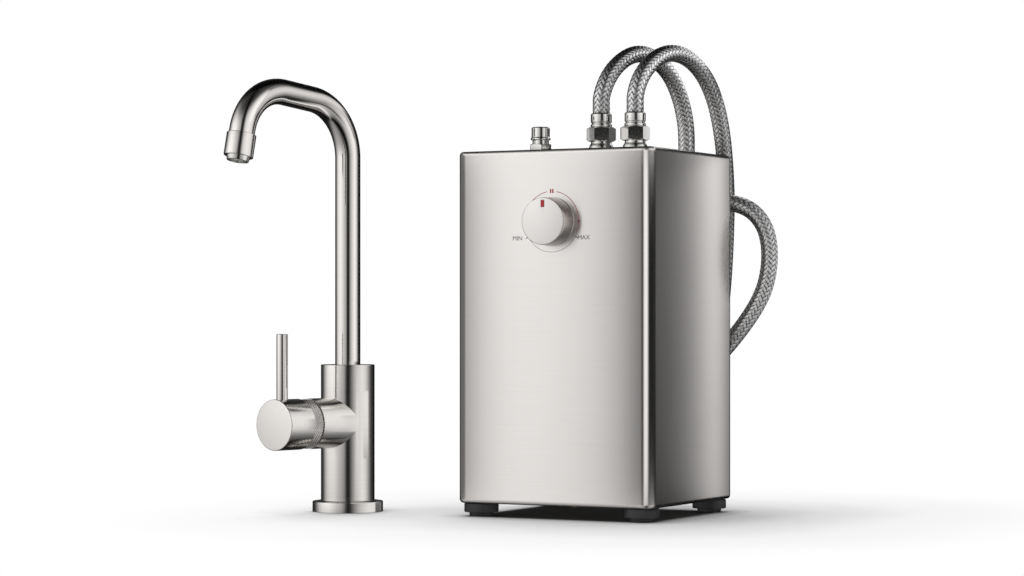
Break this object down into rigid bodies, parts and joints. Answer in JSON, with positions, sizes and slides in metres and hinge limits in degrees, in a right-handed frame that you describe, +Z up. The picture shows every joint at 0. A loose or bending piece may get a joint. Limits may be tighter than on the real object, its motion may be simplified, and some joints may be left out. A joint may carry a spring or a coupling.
{
  "type": "instant hot water dispenser",
  "caption": "Compact under-sink hot water tank on rubber feet with a thermostat knob and braided hoses, and a swan-neck faucet with a swivel spout and a lever valve.",
  "frame": {"origin": "middle of the footprint of tank and faucet together at the height of the surface they stand on, hoses left out", "axes": "+Z up, +Y to the back, +X to the right along the tank's front"},
  "size_m": [0.3192, 0.3088, 0.3524],
  "materials": {
    "aerator_insert": "bright",
    "aerator_screen": "moulded",
    "back_panel": "brushed",
    "base_flange": "brushed",
    "base_plate": "brushed",
    "base_seal": "matte",
    "capillary_tube": "drawn copper",
    "casing_shell": "brushed",
    "cold_dip_pipe": "drawn copper",
    "control_knob": "brushed",
    "drain_plug": "machined",
    "drain_tube": "turned",
    "element_gasket": "matte",
    "element_head": "machined",
    "faucet_body": "brushed",
    "foot_back_left": "matte",
    "foot_back_right": "matte",
    "foot_front_left": "matte",
    "foot_front_right": "matte",
    "handle_cap": "brushed",
    "heating_element": "turned",
    "hot_outlet_pipe": "drawn copper",
    "inner_vessel": "turned",
    "insulation_back": "foam",
    "insulation_front": "foam",
    "knob_pointer": "painted",
    "knurled_ring": "bright",
    "lead_gland": "matte",
    "left_hose": "woven braid",
    "left_hose_end_ferrule": "turned",
    "left_hose_end_nut": "turned",
    "left_hose_top_ferrule": "turned",
    "left_hose_top_nut": "turned",
    "left_port": "turned",
    "lever_pin": "brushed",
    "right_hose": "woven braid",
    "right_hose_end_ferrule": "turned",
    "right_hose_end_nut": "turned",
    "right_hose_top_ferrule": "turned",
    "right_hose_top_nut": "turned",
    "right_port": "turned",
    "spout_collar": "brushed",
    "spout_grub_screw": "turned",
    "spout_seal_ring": "matte",
    "spout_tube": "brushed",
    "swivel_bush": "moulded",
    "terminal_block": "moulded",
    "thermal_cutout": "moulded",
    "thermostat_body": "moulded",
    "thermostat_bulb": "drawn copper",
    "thermostat_nut": "machined",
    "thermostat_spindle": "machined",
    "thermowell": "drawn copper",
    "valve_cartridge": "machined",
    "valve_stem": "machined",
    "vent_cap": "turned",
    "vent_fitting": "turned",
    "vent_pipe": "drawn copper",
    "vessel_stand": "brushed"
  },
  "bodies": {
    "unit": {"casing_shell": "casing_shell", "base_plate": "base_plate", "back_panel": "back_panel", "vessel_stand": "vessel_stand", "faucet_body": "faucet_body", "base_flange": "base_flange", "inner_vessel": "inner_vessel", "heating_element": "heating_element", "drain_tube": "drain_tube", "left_port": "left_port", "right_port": "right_port", "vent_fitting": "vent_fitting", "vent_cap": "vent_cap", "spout_grub_screw": "spout_grub_screw", "left_hose_top_ferrule": "left_hose_top_ferrule", "left_hose_top_nut": "left_hose_top_nut", "left_hose_end_ferrule": "left_hose_end_ferrule", "left_hose_end_nut": "left_hose_end_nut", "right_hose_top_ferrule": "right_hose_top_ferrule", "right_hose_top_nut": "right_hose_top_nut", "right_hose_end_ferrule": "right_hose_end_ferrule", "right_hose_end_nut": "right_hose_end_nut", "knurled_ring": "knurled_ring", "left_hose": "left_hose", "right_hose": "right_hose", "foot_front_left": "foot_front_left", "foot_front_right": "foot_front_right", "foot_back_left": "foot_back_left", "foot_back_right": "foot_back_right", "lead_gland": "lead_gland", "element_gasket": "element_gasket", "base_seal": "base_seal", "spout_seal_ring": "spout_seal_ring", "element_head": "element_head", "drain_plug": "drain_plug", "thermostat_nut": "thermostat_nut", "valve_cartridge": "valve_cartridge", "thermowell": "thermowell", "thermostat_bulb": "thermostat_bulb", "capillary_tube": "capillary_tube", "hot_outlet_pipe": "hot_outlet_pipe", "cold_dip_pipe": "cold_dip_pipe", "vent_pipe": "vent_pipe", "thermostat_body": "thermostat_body", "thermal_cutout": "thermal_cutout", "terminal_block": "terminal_block", "swivel_bush": "swivel_bush", "insulation_front": "insulation_front", "insulation_back": "insulation_back"},
    "spout": {"spout_tube": "spout_tube", "spout_collar": "spout_collar", "aerator_insert": "aerator_insert", "aerator_screen": "aerator_screen"},
    "handle": {"handle_cap": "handle_cap", "lever_pin": "lever_pin", "valve_stem": "valve_stem"},
    "knob": {"control_knob": "control_knob", "knob_pointer": "knob_pointer", "thermostat_spindle": "thermostat_spindle"}
  },
  "joints": [
    {"name": "spout_swivel", "type": "hinge", "parent": "unit", "child": "spout", "pos_m": [-0.11156, -0.01499, 0], "axis": [0, 0, 1], "range_deg": [-165, 75]},
    {"name": "handle_turn", "type": "hinge", "parent": "unit", "child": "handle", "pos_m": [-0.11156, -0.01499, 0.0676], "axis": [-0.225, -0.9744, 0], "range_deg": [0, 90]},
    {"name": "knob_turn", "type": "hinge", "parent": "unit", "child": "knob", "pos_m": [0.06804, -0.02449, 0.217], "axis": [0, -1, 0], "range_deg": [-120, 120]}
  ]
}
